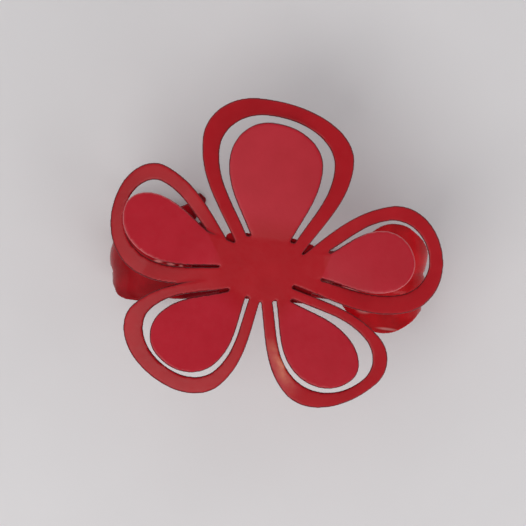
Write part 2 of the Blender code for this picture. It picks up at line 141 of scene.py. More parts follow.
# A petal's outlines, in its own frame: x runs out from the hub, y to the left.  Each outline
# has a left foot, its widest point on the left, its tip, its widest on the right, a right foot.
PETALS = {
    "top": {
        "heading": 84.0,
        "outer": ((3.0, 5.3), (25.0, 15.1), (34.1, 4.5), (22.8, -15.5), (3.0, -6.4)),
        "inner": ((6.4, 4.4), (23.2, 11.6), (30.9, 2.6), (21.5, -11.8), (5.9, -5.4)),
        "tongue": ((6.4, 3.4), (21.2, 9.3), (29.3, 1.6), (21.0, -9.4), (5.9, -4.3)),
        "droop": 1.6, "rise": 2.2, "ring_roll": 0.0, "tongue_roll": 0.0,
    },
    "left": {
        "heading": 151.0,
        "outer": ((3.0, 3.6), (22.0, 12.9), (33.5, -0.6), (27.4, -8.6), (5.6, 0.7)),
        "inner": ((8.0, 3.9), (22.0, 9.4), (30.9, 0.4), (26.4, -5.6), (14.1, -1.4)),
        "tongue": ((7.6, 3.2), (22.0, 8.7), (30.6, 1.6), (24.0, -3.1), (13.6, -1.1)),
        "droop": 2.0, "rise": 2.0, "ring_roll": -0.10, "tongue_roll": 0.06,
    },
    "lower_left": {
        "heading": 221.0,
        "outer": ((3.0, 2.85), (21.8, 11.4), (31.4, -2.5), (24.5, -12.1), (4.0, -1.8)),
        "inner": ((5.8, 2.1), (20.6, 8.6), (28.1, -1.5), (22.3, -9.2), (8.0, -2.1)),
        "tongue": ((6.0, 1.2), (19.8, 7.5), (27.4, -1.2), (21.2, -7.3), (8.4, -1.6)),
        "droop": 1.8, "rise": 2.0, "ring_roll": 0.0, "tongue_roll": 0.0,
    },
    "lower_right": {
        "heading": 310.0,
        "outer": ((4.0, 0.6), (25.2, 8.8), (31.8, 2.2), (21.5, -12.8), (3.0, -3.8)),
        "inner": ((8.1, 0.6), (23.4, 6.5), (29.5, 1.0), (19.8, -9.6), (5.4, -2.75)),
        "tongue": ((8.2, -0.1), (21.0, 4.0), (27.9, -0.8), (19.3, -8.6), (5.8, -1.95)),
        "droop": 1.8, "rise": 2.0, "ring_roll": 0.0, "tongue_roll": 0.0,
    },
    "right": {
        "heading": 8.3,
        "outer": ((4.0, -0.3), (26.8, 8.9), (35.7, -2.0), (26.3, -12.6), (4.0, -3.15)),
        "inner": ((13.4, 2.0), (25.8, 6.2), (33.0, -2.0), (26.0, -8.9), (10.6, -3.7)),
        "tongue": ((13.6, 1.4), (23.2, 4.4), (29.8, -2.4), (23.5, -8.0), (10.8, -3.2)),
        "droop": 2.0, "rise": 1.8, "ring_roll": 0.08, "tongue_roll": -0.05,
    },
}
SIDE_HANDLE = 0.38      # handle lengths of the outlines, as parts of each span
ROUND_HANDLE = 0.56
CORNER_HANDLE = 0.45    # the same for rounded corners, as a part of the radius
CORNER_STEPS = 5        # points on each rounded corner
FOOT_SPREAD = 1.25      # how much more steeply than straight an outline leaves its foot
OUTLINE_STEPS = 22      # points on each quarter of an outline
BEND_START = 8.5        # rings stay flat out to here
PETAL_REACH = 34.0
DROOP_POWER = 1.5       # rings sink faster towards their tips
TONGUE_ROOT = [(2.0, -2.5), (2.0, 2.5)]     # the end of a tongue that lies in the hub

# ---- looks: sizes of the fine meshes, in millimetres ----------------------------------------
SHEET = 0.50            # the sheet before its lacquer
LACQUER = 0.08          # grown onto every side once the stampings are fused
FINE_STEP = 0.6         # spacing of the cross cuts that let a blank bend smoothly
RING_CUTS = (7.5, 36.0)     # distances out from the hub between which a ring is cut across
TONGUE_CUTS = (-2.0, 32.0)  # the same for a tongue, the first counted from its fold
FLUTE_ROW = 0.9         # spacing of the lengthwise cuts that let a jaw be fluted
FLUTE_ROWS = 15         # such cuts on each side of its middle
WELD = 0.02             # points closer than this are one
VOXEL = 0.19            # grid of the remesh that runs all the stampings together
FLOWER_SMOOTHING = 6    # rounds of smoothing after the remesh
JAW_SMOOTHING = 5
COIL_STEPS = 24         # points on each turn of the coil
COIL_PIECE_TURN = 0.5   # turns of the coil that belong to each leg

FLUTES = {              # how far each tooth's root swells between its neighbours' creases
    "right_jaw": (0.40, 0.75, 0.45),
    "left_jaw": (-0.50, 0.70, 0.45, 0.25),
}
FLUTE_RISE = (34.0, 42.0)   # distances along a jaw between which its flutes swell,
FLUTE_FALL = (56.0, 64.0)   # and between which they die away
FLUTE_MARGINS = (2.0, 1.0)  # how far outside the low and high edges the outermost flutes end
FLUTE_ROUND = 0.8
LIP_HEIGHT = 0.45       # the wall's low edge rolls outwards
LIP_WIDTH = 0.8
LIP_FADE = 3.0
TWIST_SLOPE = 0.20      # the limb of the flower with the painted highlight is twisted by this much,
TWIST_REACH = (-2.5, 2.0)   # and no further across than this

# ---- looks: where the lacquer differs and where light and shade are painted, in millimetres ---
TONGUE_SHEEN_SPAN = (7.0, 11.0)   # distances out between which a tongue takes on its painted sheen, a lighter, pinker red
TONGUE_SHEEN_INSET = 0.985    # the painted sheen ends just inside the tongue's outline
# two tongues whose far rims get a painted highlight
RIM_LIT_TONGUES = ("left", "right")
RIM_LIGHT_SPAN = (17.0, 22.0)     # distances out between which their rims take a painted highlight
HIGHLIGHT_PETAL = "lower_right"    # the ring whose near limb is twisted and carries a painted highlight
HIGHLIGHT_SIDE = -2.0      # that limb lies below this Y
# the middle, slope and size of the painted highlight on that limb
HIGHLIGHT_MIDDLE = (16.8, -9.9)
HIGHLIGHT_SLOPE = -0.27
HIGHLIGHT_HALF_LENGTH = 4.8
HIGHLIGHT_HALF_WIDTH = 1.3
JAW_TOP_FROM = -10.0    # a jaw's upper side is above this height from the pin
JAW_HIGHLIGHTS = {          # painted highlights on it: (x, y, half length, half width)
    "right_jaw": ((20.6, -6.4, 1.6, 0.8), (16.9, -2.7, 2.0, 0.7), (12.0, -1.7, 1.4, 0.4),
                  (25.8, -9.75, 2.3, 0.28)),
    "left_jaw": ((-22.6, -1.6, 1.0, 0.3), (-19.9, -1.9, 0.9, 0.28), (-17.8, -2.0, 0.5, 0.25)),
}
TOOTH_SHADE_SPAN = (17.0, 21.0)   # distances out from the pin between which the teeth's painted shade fades out
# how dark the painted shade on the teeth is
TOOTH_SHADE = 0.80

# ---- looks: colours, as linear red, green, blue and alpha -----------------------------------
RING_REDS = ((0.330, 0.006, 0.011, 1.0), (0.375, 0.009, 0.015, 1.0))
# the tongues' red: the rings' red with a painted sheen, lighter and pinker
TONGUE_SHEEN_REDS = ((0.365, 0.010, 0.020, 1.0), (0.410, 0.014, 0.027, 1.0))
# the painted highlight on that limb: a streaked orange, lighter red
HIGHLIGHT_REDS = ((0.39, 0.020, 0.013, 1.0), (0.48, 0.095, 0.045, 1.0))
# the painted shade on the sheet's edges, where it turns away from the flat
EDGE_SHADE = (0.085, 0.006, 0.010, 1.0)
# the painted highlight on those tongue rims
RIM_HIGHLIGHT = (0.52, 0.12, 0.13, 1.0)
# painted light and shade: each piece's red is scaled by how lit it is, the left jaw and the bracket
# darker, the right jaw lighter
CLAW_LIGHT_LEVELS = {"left_jaw": 0.72, "right_jaw": 1.12, "flower_bracket": 0.85}
CLAW_REDS = (0.330, 0.450)  # the red alone, to be multiplied by a piece's painted light level
# the colour of the painted shade on the jaws' sides and teeth
CLAW_EDGE_SHADE = (0.070, 0.004, 0.007, 1.0)
# the colour of the painted highlights on the jaws
CLAW_HIGHLIGHT = (0.62, 0.20, 0.19, 1.0)
STEEL_GREYS = ((0.43, 0.43, 0.44, 1.0), (0.60, 0.60, 0.61, 1.0))
PAPER_GREYS = ((0.66, 0.65, 0.66, 1.0), (0.69, 0.68, 0.69, 1.0))

# ---- looks: stage, light and camera ---------------------------------------------------------
FLOOR_HALF = 1.5        # metres; it is flat out to FLOOR_FLAT and rises beyond
FLOOR_FLAT = 1.0
FLOOR_CURVE = 0.4
FLOOR_GAP = 0.00002     # below the teeth
LIGHTS = (              # (name, place from the hub, size, power, colour), in metres and watts
    ("key", (-0.14, -0.22, 0.55), 0.34, 1.45, (1.0, 0.965, 0.94)),
    ("fill", (-0.35, 0.35, 0.42), 0.60, 0.25, (1.0, 1.0, 1.0)),
    ("side", (0.45, -0.40, 0.20), 0.40, 1.1, (1.0, 1.0, 1.0)),
)
ROOM_LEVELS = ((0.0, 0.30), (0.45, 0.85), (0.80, 0.75), (0.94, 0.10))   # (height, level)
ROOM_BLUE = 1.015       # the room is a touch bluer than grey
ROOM_STRENGTH = 0.92
CAMERA_DISTANCE = 600.0     # millimetres above the flower
FIELD_WIDTH = 105.2         # millimetres that the picture spans across the flower
AIM_OFFSET = (-0.4, 1.4)    # the picture's middle from the hub, along the flower's own axes


# ---- small helpers --------------------------------------------------------------------------
def share(value, start, stop):
    """How far a value has gone from start to stop, from 0 to 1."""
    return min(max((value - start) / (stop - start), 0.0), 1.0)


def arc(radius, start, stop, step):
    """Points of an arc about the origin, at even steps in degrees."""
    return [(radius * math.cos(math.radians(a)), radius * math.sin(math.radians(a)))
            for a in range(start, stop, step)]


# ---- the CAD's outlines: jaws ---------------------------------------------------------------
def jaw_point(distance):
    """Position in the X-Z section and heading, in radians, at a distance along the jaw."""
    x, z = TAB_END
    heading = math.radians(TAB_HEADING)
    left = distance
    for index, (length, turn) in enumerate(JAW_PATH):
        last = index == len(JAW_PATH) - 1
        run = left if last else min(left, length)
        bend = math.radians(turn) * run / length
        chord = run if abs(bend) < 1e-9 else 2.0 * run / bend * math.sin(0.5 * bend)
        x += chord * math.cos(heading + 0.5 * bend)
        z += chord * math.sin(heading + 0.5 * bend)
        heading += bend
        left -= run
        if left <= 1e-9:
            break
    return x, z, heading


def round_corner(corner, before, after, radius):
    """Points of a rounded corner of an outline."""
    corner = Vector(corner)
    to_before = (Vector(before) - corner).normalized()
    to_after = (Vector(after) - corner).normalized()
    start = corner + to_before * radius
    end = corner + to_after * radius
    handle = radius * CORNER_HANDLE
    curve = interpolate_bezier(start, corner + to_before * handle, corner + to_after * handle,
                               end, CORNER_STEPS)
    return [(point.x, point.y) for point in curve]


def rounded(corners):
    """A closed outline from (point, corner radius) pairs."""
    outline = []
    count = len(corners)
    for index, (point, radius) in enumerate(corners):
        before = corners[index - 1][0]
        after = corners[(index + 1) % count][0]
        if radius > 0:
            outline.extend(round_corner(point, before, after, radius))
        else:
            outline.append(point)
    return outline


def tooth_corners(jaw):
    """Corners of the toothed edge: the teeth in turn, with a narrow slot between each two."""
    corners = []
    for index, tooth in enumerate(jaw["teeth"]):
        corners.extend(tooth)
        if index < len(jaw["slots"]):
            middle = jaw["slots"][index]
            corners.append(((TOOTH_SLOT_START, middle - 0.5 * SLOT_WIDTH), SLOT_CORNER))
            corners.append(((TOOTH_SLOT_START, middle + 0.5 * SLOT_WIDTH), SLOT_CORNER))
    return corners


def jaw_outline(jaw):
    """The flat blank of a jaw: distance along the path against Y."""
    leave, step_out, step_in, rejoin = LUG_STEP
    lug_low = min(jaw["lugs"]) - 0.5 * JAW_SHEET
    lug_high = max(jaw["lugs"]) + 0.5 * JAW_SHEET
    corners = [
        ((0.0, TAB_HALF_WIDTH), TAB_CORNER),
        ((0.0, -TAB_HALF_WIDTH), TAB_CORNER),
        ((leave, -TAB_HALF_WIDTH), 0.0),
        ((step_out, lug_low), 0.0),
        ((step_in, lug_low), 0.0),
        ((rejoin, -TAB_HALF_WIDTH), 0.0),
        ((NECK_END, -TAB_HALF_WIDTH), NECK_CORNER),
    ]
    corners.extend(jaw["low"])
    corners.extend(tooth_corners(jaw))
    corners.extend(jaw["high"])
    corners.extend([
        ((NECK_END, TAB_HALF_WIDTH), NECK_CORNER),
        ((rejoin, TAB_HALF_WIDTH), 0.0),
        ((step_in, lug_high), 0.0),
        ((step_out, lug_high), 0.0),
        ((leave, TAB_HALF_WIDTH), 0.0),
    ])
    return rounded(corners)


def bend_jaw(point):
    """Roll a point of the flat blank onto the jaw's section."""
    x, z, heading = jaw_point(max(point.x, 0.0))
    side_x = -math.sin(heading)
    side_z = math.cos(heading)
    return (x + side_x * point.z, point.y, z + side_z * point.z)


# ---- the CAD's outlines: petals -------------------------------------------------------------
def quarter(start, start_handle, end_handle, end):
    """Points of one stretch of an outline, without its last point."""
    points = interpolate_bezier(Vector((*start, 0.0)), Vector((*start_handle, 0.0)),
                                Vector((*end_handle, 0.0)), Vector((*end, 0.0)), OUTLINE_STEPS)
    return [(point.x, point.y) for point in points[:-1]]


def petal_edge(marks):
    """The outline through a left foot, left widest, tip, right widest and right foot."""
    foot_l, wide_l, tip, wide_r, foot_r = marks

    def side(foot, wide):
        reach = wide[0] - foot[0]
        slope = (wide[1] - foot[1]) / reach
        leave = (foot[0] + SIDE_HANDLE * reach, foot[1] + SIDE_HANDLE * reach * slope * FOOT_SPREAD)
        arrive = (wide[0] - SIDE_HANDLE * reach, wide[1])
        return leave, arrive

    def end(wide):
        leave = (wide[0] + ROUND_HANDLE * (tip[0] - wide[0]), wide[1])
        arrive = (tip[0], tip[1] + ROUND_HANDLE * (wide[1] - tip[1]))
        return leave, arrive

    left_leave, left_arrive = side(foot_l, wide_l)
    right_leave, right_arrive = side(foot_r, wide_r)
    end_left, tip_left = end(wide_l)
    end_right, tip_right = end(wide_r)
    points = quarter(foot_l, left_leave, left_arrive, wide_l)
    points += quarter(wide_l, end_left, tip_left, tip)
    points += quarter(tip, tip_right, end_right, wide_r)
    points += quarter(wide_r, right_arrive, right_leave, foot_r)
    return points + [foot_r]


def rolled(slope, point, reach):
    """Extra height of a petal that is rolled sideways: the roll is complete halfway out."""
    return slope * point.y * min(reach * 2.0, 1.0)


def ring_height(petal, point):
    """How far the ring has sunk at a point of its own frame."""
    reach = max(point.x - BEND_START, 0.0) / (PETAL_REACH - BEND_START)
    return -petal["droop"] * reach ** DROOP_POWER + rolled(petal["ring_roll"], point, reach)


def fold_line(petal):
    """How far out a tongue folds: halfway between its two feet."""
    return 0.5 * (petal["tongue"][0][0] + petal["tongue"][4][0])


def tongue_height(petal, point):
    """How far the tongue stands up: it folds along a line at its foot."""
    fold = fold_line(petal)
    reach = max(point.x - fold, 0.0) / (petal["tongue"][2][0] - fold)
    return petal["rise"] * reach + rolled(petal["tongue_roll"], point, reach)


# ---- meshes ---------------------------------------------------------------------------------
def fine_plate(name, outline, thickness, hole=None):
    """A closed flat plate from an outline, centred on Z = 0, still in millimetres."""
    curve = bpy.data.curves.new(name, "CURVE")
    curve.dimensions = "2D"
    curve.fill_mode = "BOTH"
    curve.extrude = 0.5 * thickness
    for loop in filter(None, (outline, hole)):
        spline = curve.splines.new("POLY")
        spline.points.add(len(loop) - 1)
        for point, (x, y) in zip(spline.points, loop):
            point.co = (x, y, 0.0, 1.0)
        spline.use_cyclic_u = True
    source = bpy.data.objects.new(name + "_outline", curve)
    bpy.context.scene.collection.objects.link(source)
    bpy.context.view_layer.update()
    evaluated = source.evaluated_get(bpy.context.evaluated_depsgraph_get())
    mesh = bpy.data.meshes.new_from_object(evaluated)
    bpy.data.objects.remove(source, do_unlink=True)
    bm = bmesh.new()
    bm.from_mesh(mesh)
    bpy.data.meshes.remove(mesh)
    bmesh.ops.remove_doubles(bm, verts=bm.verts, dist=WELD)
    return bm


def cut(bm, point, normal):
    """Add one straight row of edges to a flat plate."""
    geometry = bm.verts[:] + bm.edges[:] + bm.faces[:]
    bmesh.ops.bisect_plane(bm, geom=geometry, dist=1e-5, plane_co=point, plane_no=normal)


def cut_across(bm, start, stop):
    """Cut a flat plate across at even steps along X, so that it can bend."""
    for index in range(1, int((stop - start) / FINE_STEP) + 1):
        cut(bm, (start + index * FINE_STEP, 0.0, 0.0), (1.0, 0.0, 0.0))


def cut_lengthwise(bm):
    """Cut a flat plate along X at even steps, so that it can be fluted."""
    for row in range(-FLUTE_ROWS, FLUTE_ROWS + 1):
        cut(bm, (0.0, row * FLUTE_ROW, 0.0), (0.0, 1.0, 0.0))


def shape(bm, mapping):
    """Send every point through a function and turn the faces outwards."""
    for vert in bm.verts:
        vert.co = Vector(mapping(vert.co))
    bmesh.ops.triangulate(bm, faces=bm.faces)
    bmesh.ops.recalc_face_normals(bm, faces=bm.faces)
    return bm


def fuse(name, plates, smoothing):
    """Run overlapping closed plates together into one smooth, lacquered piece."""
    mesh = bpy.data.meshes.new(name)
    joined = bmesh.new()
    for plate in plates:
        part = bpy.data.meshes.new("part")
        plate.to_mesh(part)
        plate.free()
        joined.from_mesh(part)
        bpy.data.meshes.remove(part)
    joined.to_mesh(mesh)
    joined.free()
    piece = bpy.data.objects.new(name, mesh)
    bpy.context.scene.collection.objects.link(piece)
    remesh = piece.modifiers.new("fuse", "REMESH")
    remesh.mode = "VOXEL"
    remesh.voxel_size = VOXEL
    soften = piece.modifiers.new("soften", "SMOOTH")
    soften.factor = 0.5
    soften.iterations = smoothing
    bpy.context.view_layer.update()
    evaluated = piece.evaluated_get(bpy.context.evaluated_depsgraph_get())
    piece.modifiers.clear()
    piece.data = bpy.data.meshes.new_from_object(evaluated)
    bpy.data.meshes.remove(mesh)
    normals = [normal.vector.copy() for normal in piece.data.vertex_normals]
    for vertex, normal in zip(piece.data.vertices, normals):
        vertex.co = vertex.co + LACQUER * normal
    return piece


def to_row_frame(point):
    """A point in millimetres about the pin, as metres in the row frame."""
    return (point + Vector((PIN_X, PIN_Y, PIN_HEIGHT))) * MM


def finish_piece(piece, material):
    """Move a piece to the row frame and give it its finish."""
    for vertex in piece.data.vertices:
        vertex.co = to_row_frame(vertex.co)
    for polygon in piece.data.polygons:
        polygon.use_smooth = True
    piece.data.materials.clear()
    piece.data.materials.append(material)
    piece.data.update()
    return piece


# ---- flower ---------------------------------------------------------------------------------
def petal_frame(petal):
    """Turns a petal's own frame into the flower's."""
    return Matrix.Rotation(math.radians(petal["heading"]), 3, "Z")


def inside(outline, x, y):
    """Whether a point lies in a closed outline."""
    hit = False
    for (ax, ay), (bx, by) in zip(outline, outline[1:] + outline[:1]):
        if (ay > y) != (by > y) and x < ax + (y - ay) / (by - ay) * (bx - ax):
            hit = not hit
    return hit


def make_ring(name, petal):
    """A petal's open ring, sinking towards its tip."""
    turn = petal_frame(petal)
    ring = fine_plate(name + "_ring", petal_edge(petal["outer"]), SHEET,
                      hole=petal_edge(petal["inner"]))
    cut_across(ring, *RING_CUTS)

    def bend(point):
        height = point.z + ring_height(petal, point) + twisted(name, point)
        return turn @ Vector((point.x, point.y, height))

    return shape(ring, bend)


def make_tongue(name, petal):
    """A petal's tongue, folded up from its foot."""
    turn = petal_frame(petal)
    tongue = fine_plate(name + "_tongue", petal_edge(petal["tongue"]) + TONGUE_ROOT, SHEET)
    cut_across(tongue, fold_line(petal) + TONGUE_CUTS[0], TONGUE_CUTS[1])

    def bend(point):
        return turn @ Vector((point.x, point.y, point.z + tongue_height(petal, point)))

    return shape(tongue, bend)


def make_flower(material):
    """The stamping: a hub, five open rings and a raised tongue inside each ring."""
    plates = [shape(fine_plate("hub", arc(HUB_RADIUS, 0, 360, 5), SHEET), lambda point: point)]
    for name, petal in PETALS.items():
        plates.append(make_ring(name, petal))
        plates.append(make_tongue(name, petal))
    flower = fuse("flower_skin", plates, FLOWER_SMOOTHING)
    mark_edge_shade(flower)
    mark_tongue_sheen(flower)
    mark_rim_highlights(flower)
    mark_limb_highlight(flower)
    place = Matrix.Translation((FLOWER_SHIFT_X, FLOWER_SHIFT_Y, FLOWER_LIFT))
    flower.data.transform(place @ Matrix.Rotation(math.radians(FLOWER_TURN), 4, "Z"))
    return finish_piece(flower, material)


def mark_edge_shade(piece):
    """Store how far each point's surface turns away from the flat of the sheet, to set the painted
    shade on its edges.
    """
    layer = piece.data.attributes.new("rim", "FLOAT", "POINT")
    for entry, normal in zip(layer.data, piece.data.vertex_normals):
        entry.value = 1.0 - abs(normal.vector.z)


def mark_tongue_sheen(flower):
    """Store which points belong to a tongue, and how far out along it they are, as the strength of
    its painted sheen.
    """
    layer = flower.data.attributes.new("tongue", "FLOAT", "POINT")
    frames = [(petal_frame(petal).transposed(), petal_edge(petal["tongue"]))
              for petal in PETALS.values()]
    for vertex in flower.data.vertices:
        for back, outline in frames:
            local = back @ vertex.co
            inner = local * TONGUE_SHEEN_INSET
            if local.x > TONGUE_SHEEN_SPAN[0] and inside(outline, inner.x, inner.y):
                layer.data[vertex.index].value = share(local.x, *TONGUE_SHEEN_SPAN)
                break


def mark_rim_highlights(flower):
    """Store where a tongue's rim catches the light, as a painted highlight: around the far ends of
    two of them.
    """
    layer = flower.data.attributes.new("pale", "FLOAT", "POINT")
    tongues = flower.data.attributes["tongue"].data
    for name in RIM_LIT_TONGUES:
        back = petal_frame(PETALS[name]).transposed()
        for vertex in flower.data.vertices:
            local = back @ vertex.co
            if tongues[vertex.index].value > 0.5 and local.x > RIM_LIGHT_SPAN[0]:
                layer.data[vertex.index].value = share(local.x, *RIM_LIGHT_SPAN)


def off_limb(point):
    """Distances along and across the middle of the limb with the painted highlight."""
    along = point.x - HIGHLIGHT_MIDDLE[0]
    return along, point.y - HIGHLIGHT_MIDDLE[1] - HIGHLIGHT_SLOPE * along


def highlight_share(point):
    """How strong the painted highlight is: only one limb of one ring has it."""
    along, across = off_limb(point)
    return math.exp(-(along / HIGHLIGHT_HALF_LENGTH) ** 2 - (across / HIGHLIGHT_HALF_WIDTH) ** 2)


def twisted(name, point):
    """Extra height of the limb with the painted highlight, which is also twisted outwards a little.
    """
    if name != HIGHLIGHT_PETAL or point.y > HIGHLIGHT_SIDE:
        return 0.0
    along, across = off_limb(point)
    reach = max(min(across, TWIST_REACH[1]), TWIST_REACH[0])
    return TWIST_SLOPE * reach * math.exp(-(along / HIGHLIGHT_HALF_LENGTH) ** 2)


def mark_limb_highlight(flower):
    """Store where the painted highlight lies on the flower."""
    layer = flower.data.attributes.new("painted_highlight", "FLOAT", "POINT")
    back = petal_frame(PETALS[HIGHLIGHT_PETAL]).transposed()
    for vertex in flower.data.vertices:
        layer.data[vertex.index].value = highlight_share(back @ vertex.co)


# ---- jaws -----------------------------------------------------------------------------------
def flute(name, distance, y):
    """How far the sheet swells between the creases that run up from the slots."""
    jaw = JAWS[name]
    low_end = jaw["low"][-1][0][1] - FLUTE_MARGINS[0]
    high_end = jaw["high"][0][0][1] + FLUTE_MARGINS[1]
    marks = [low_end, *jaw["slots"], high_end]
    swell = share(distance, *FLUTE_RISE) * (1.0 - share(distance, *FLUTE_FALL))
    for depth, low, high in zip(FLUTES[name], marks, marks[1:]):
        if low <= y <= high:
            across = (y - low) / (high - low)
            return depth * swell * math.sin(math.pi * across) ** FLUTE_ROUND
    return 0.0


def lip(name, distance, y):
    """How far the low edge of the wall is rolled outwards, fading at both ends."""
    marks = [corner for corner, _ in JAWS[name]["low"]]
    for (near, near_y), (far, far_y) in zip(marks, marks[1:]):
        if near <= distance <= far:
            edge = near_y + (far_y - near_y) * (distance - near) / (far - near)
            fade = min(distance - marks[0][0], marks[-1][0] - distance, LIP_FADE) / LIP_FADE
            return LIP_HEIGHT * fade * math.exp(-((y - edge) / LIP_WIDTH) ** 2)
    return 0.0


def bend_fluted(name, point):
    """Roll a point of the blank onto the jaw's section, with flutes and lip pressed in."""
    lift = flute(name, point.x, point.y) + lip(name, point.x, point.y)
    lifted = Vector((point.x, point.y, point.z + lift))
    return bend_jaw(lifted)


def make_lug(y):
    """One hinge lug: a small plate across the pin with its bore."""
    outline = [*arc(LUG_RADIUS, *LUG_ARC, 7), *LUG_ROOT]
    lug = fine_plate("lug", outline, JAW_SHEET - 2.0 * LACQUER,
                     hole=arc(PIN_HOLE_RADIUS, 0, 360, 12))
    return shape(lug, lambda point: (point.x, y - point.z, point.y))


def make_jaw(name, material):
    """One jaw in fine sheet, bent on the +X side and mirrored if it is the left."""
    jaw = JAWS[name]
    plate = fine_plate(name, jaw_outline(jaw), JAW_SHEET - 2.0 * LACQUER)
    cut_across(plate, 0.0, sum(length for length, _ in JAW_PATH))
    cut_lengthwise(plate)
    shape(plate, lambda point: bend_fluted(name, point))
    lugs = [make_lug(y) for y in jaw["lugs"]]
    piece = fuse(name + "_skin", [plate] + lugs, JAW_SMOOTHING)
    if jaw["side"] < 0.0:
        piece.data.transform(Matrix.Scale(-1.0, 4, (1.0, 0.0, 0.0)))
        piece.data.flip_normals()
    mark_jaw_shade(piece)
    mark_jaw_highlights(piece, JAW_HIGHLIGHTS[name])
    return finish_piece(piece, material)


def mark_jaw_shade(piece):
    """Store where the jaw gets painted shade: its cut sides, facing along the hinge, and its teeth.
    """
    layer = piece.data.attributes.new("rim", "FLOAT", "POINT")
    for vertex, normal in zip(piece.data.vertices, piece.data.vertex_normals):
        tooth = 0.0
        if vertex.co.z <= JAW_TOP_FROM:
            tooth = TOOTH_SHADE * (1.0 - share(abs(vertex.co.x), *TOOTH_SHADE_SPAN))
        layer.data[vertex.index].value = max(abs(normal.vector.y), tooth)


def mark_jaw_highlights(piece, highlights):
    """Store where a jaw's upper side gets painted highlights."""
    layer = piece.data.attributes.new("painted_highlight", "FLOAT", "POINT")
    for vertex in piece.data.vertices:
        if vertex.co.z > JAW_TOP_FROM:
            layer.data[vertex.index].value = sum(
                math.exp(-((vertex.co.x - x) / length) ** 2 - ((vertex.co.y - y) / width) ** 2)
                for x, y, length, width in highlights)


# ---- spring ---------------------------------------------------------------------------------
def spring_wire(name, points, material):
    """A round wire along a centre line, as a smooth curve in the row frame."""
    curve = bpy.data.curves.new(name, "CURVE")
    curve.dimensions = "3D"
    curve.bevel_depth = WIRE_RADIUS * MM
    curve.bevel_resolution = 5
    curve.use_fill_caps = True
    spline = curve.splines.new("POLY")
    spline.points.add(len(points) - 1)
    for point, co in zip(spline.points, points):
        point.co = (*to_row_frame(co), 1.0)
    spline.use_smooth = True
    wire = bpy.data.objects.new(name, curve)
    bpy.context.scene.collection.objects.link(wire)
    curve.materials.append(material)
    return wire


def coil_point(part):
    """A point of the coil's centre line, from 0 at its low-Y end to 1."""
    turned = part * (360.0 * COIL_TURNS - 2.0 * TAB_RISE)
    angle = math.radians(90.0 + TAB_RISE + turned)
    half = 0.5 * COIL_TURNS * COIL_PITCH
    return Vector((COIL_RADIUS * math.cos(angle), half * (2.0 * part - 1.0),
                   COIL_RADIUS * math.sin(angle)))


def make_spring(material):
    """The coil, which stays on the pin, and its two legs, which swing with the jaws."""
    steps = COIL_TURNS * COIL_STEPS
    coil = [coil_point(index / steps) for index in range(steps + 1)]
    taken = int(COIL_PIECE_TURN * COIL_STEPS)
    overlap = taken // 2
    rise = math.radians(TAB_RISE)
    runs = (("left_jaw", coil[taken::-1], -1.0), ("right_jaw", coil[-taken - 1:], 1.0))
    legs = {}
    for jaw, run, side in runs:
        out = Vector((side * math.cos(rise), 0.0, math.sin(rise) + LEG_LIFT))
        leg = [run[-1] + out * d for d in (LEG_START, 0.5 * LEG_LENGTH, LEG_LENGTH)]
        legs[jaw] = spring_wire(jaw.replace("jaw", "spring_leg"), run + leg, material)
    return spring_wire("spring_coil", coil[overlap:-overlap], material), legs


# ---- materials ------------------------------------------------------------------------------
class Nodes:
    """Small helper for building a node tree in code."""

    def __init__(self, name):
        self.material = bpy.data.materials.new(name)
        self.material.use_nodes = True
        self.tree = self.material.node_tree
        self.shader = self.tree.nodes["Principled BSDF"]

    def add(self, kind, **settings):
        """A new node with its settings and unlinked input values."""
        node = self.tree.nodes.new(kind)
        for key, value in settings.items():
            if key in node.inputs:
                node.inputs[key].default_value = value
            else:
                setattr(node, key, value)
        return node

    def link(self, source, target):
        """Join an output socket to an input socket."""
        self.tree.links.new(source, target)

    def noise(self, scale, detail):
        """Noise in object space, in features per metre."""
        coords = self.add("ShaderNodeTexCoord")
        noise = self.add("ShaderNodeTexNoise", Scale=scale, Detail=detail)
        self.link(coords.outputs["Object"], noise.inputs["Vector"])
        return noise.outputs["Fac"]

    def ramp(self, source, low, high, colours):
        """A ramp from one colour, where the source is low, to another, where it is high."""
        node = self.add("ShaderNodeValToRGB")
        for element, position, colour in zip(node.color_ramp.elements, (low, high), colours):
            element.position = position
            element.color = colour
        self.link(source, node.inputs["Fac"])
        return node.outputs["Color"]

    def mix(self, factor, first, second):
        """Mix two colours; each is a socket or an RGBA value."""
        node = self.add("ShaderNodeMix", data_type="RGBA")
        self.link(factor, node.inputs[0])
        for index, value in ((6, first), (7, second)):
            if isinstance(value, tuple):
                node.inputs[index].default_value = value
            else:
                self.link(value, node.inputs[index])
        return node.outputs[2]

    def attribute(self, name):
        """A value stored on the mesh's points."""
        node = self.add("ShaderNodeAttribute", attribute_name=name)
        return node.outputs["Fac"]

    def range(self, source, low, high, out_low, out_high):
        """Rescale a value, clamped."""
        node = self.add("ShaderNodeMapRange")
        for index, value in enumerate((low, high, out_low, out_high), start=1):
            node.inputs[index].default_value = value
        self.link(source, node.inputs[0])
        return node.outputs[0]

    def bump(self, height, strength, distance):
        """Bump from a height socket, into the shader."""
        node = self.add("ShaderNodeBump", Strength=strength, Distance=distance)
        self.link(height, node.inputs["Height"])
        self.link(node.outputs["Normal"], self.shader.inputs["Normal"])


